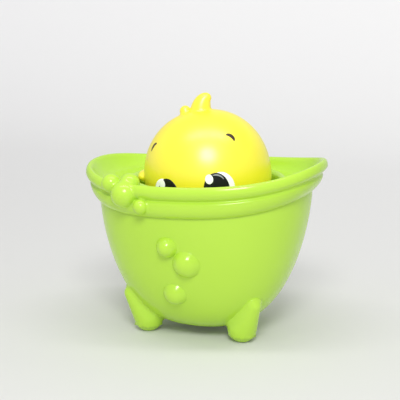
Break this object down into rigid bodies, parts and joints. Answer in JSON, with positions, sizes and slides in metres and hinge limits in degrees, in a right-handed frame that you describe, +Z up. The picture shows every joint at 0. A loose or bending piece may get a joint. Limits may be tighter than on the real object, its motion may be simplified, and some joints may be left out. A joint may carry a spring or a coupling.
{
  "type": "toy duck in bathtub",
  "caption": "Round yellow toy duck with printed eyes, peeping out of the well of a lime green footed bathtub with moulded soap bubbles.",
  "frame": {"origin": "on the ground under the middle of the tub", "axes": "+X along the tub towards its higher end, -Y the side the duck looks to, +Z up"},
  "size_m": [0.153, 0.1231, 0.1518],
  "materials": {
    "lime_plastic": "gloss moulded lime green plastic",
    "zinc_steel": "zinc plated",
    "yellow_vinyl": "satin yellow vinyl",
    "orange_vinyl": "satin orange vinyl",
    "white_ink": "printed white",
    "black_ink": "printed black",
    "grey_ink": "printed grey",
    "brown_ink": "printed dark brown"
  },
  "bodies": {
    "root": {"tub_bowl": "lime_plastic", "tub_top": "lime_plastic", "screw_1": "zinc_steel", "screw_2": "zinc_steel", "screw_3": "zinc_steel", "duck_body": "yellow_vinyl", "beak": "orange_vinyl", "eye_white_left": "white_ink", "eye_white_right": "white_ink", "pupil_left": "black_ink", "pupil_right": "black_ink", "glint_left": "white_ink", "glint_right": "white_ink", "shine_left": "grey_ink", "shine_right": "grey_ink", "brow_left": "brown_ink", "brow_right": "brown_ink"}
  },
  "joints": []
}
